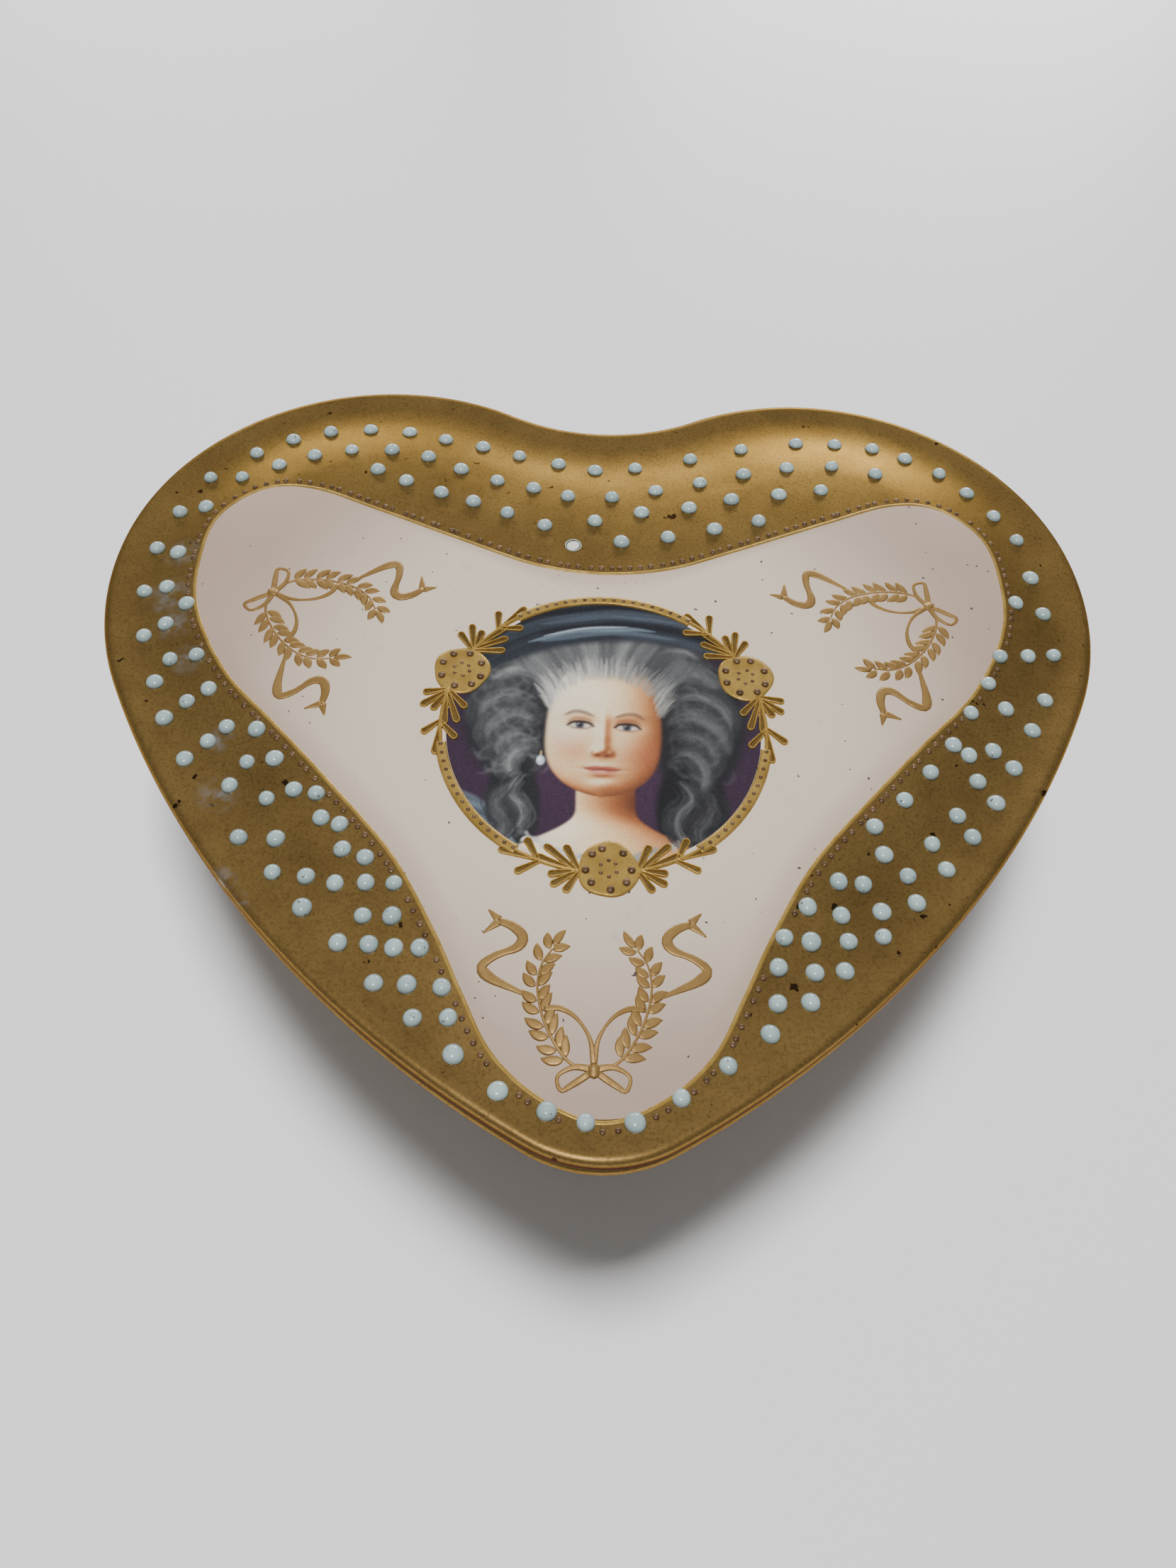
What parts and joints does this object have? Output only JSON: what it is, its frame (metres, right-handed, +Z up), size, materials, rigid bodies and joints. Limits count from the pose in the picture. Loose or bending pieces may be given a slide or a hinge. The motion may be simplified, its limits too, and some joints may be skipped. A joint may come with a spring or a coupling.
{
  "type": "heart-shaped trinket box",
  "caption": "Heart-shaped porcelain trinket box with a lift-off lid, a gilded and jewelled border, a pale reserve and a round portrait medallion.",
  "frame": {"origin": "on the supporting surface under the middle of the box's bounding box", "axes": "+Z up, +Y from the heart's tip to its cleft, +X across the two lobes"},
  "size_m": [0.1108, 0.0956, 0.037],
  "materials": {
    "porcelain": "satin glaze, pale pink ground outside, white inside",
    "gilding": "worn burnished gilding over porcelain",
    "enamel": "glossy pale turquoise enamel beads",
    "transfer_print": "halftone print under a glossy glaze"
  },
  "bodies": {
    "base": {"base_shell": "porcelain"},
    "lid": {"lid_shell": "porcelain", "portrait_medallion": "transfer_print", "reserve_edging": "gilding", "rosette_right": "gilding", "rosette_left": "gilding", "rosette_bottom": "gilding", "frame_arc_top": "gilding", "frame_arc_left": "gilding", "frame_arc_right": "gilding", "wreath_left": "gilding", "wreath_right": "gilding", "wreath_bottom": "gilding", "enamel_bead_01": "enamel", "enamel_bead_02": "enamel", "enamel_bead_03": "enamel", "enamel_bead_04": "enamel", "enamel_bead_05": "enamel", "enamel_bead_06": "enamel", "enamel_bead_07": "enamel", "enamel_bead_08": "enamel", "enamel_bead_09": "enamel", "enamel_bead_10": "enamel", "enamel_bead_11": "enamel", "enamel_bead_12": "enamel", "enamel_bead_13": "enamel", "enamel_bead_14": "enamel", "enamel_bead_15": "enamel", "enamel_bead_16": "enamel", "enamel_bead_17": "enamel", "enamel_bead_18": "enamel", "enamel_bead_19": "enamel", "enamel_bead_20": "enamel", "enamel_bead_21": "enamel", "enamel_bead_22": "enamel", "enamel_bead_23": "enamel", "enamel_bead_24": "enamel"}
  },
  "joints": [
    {"name": "lid_lift", "type": "slide", "parent": "base", "child": "lid", "axis": [0, 0, 1], "range_m": [0, 0.06]}
  ]
}
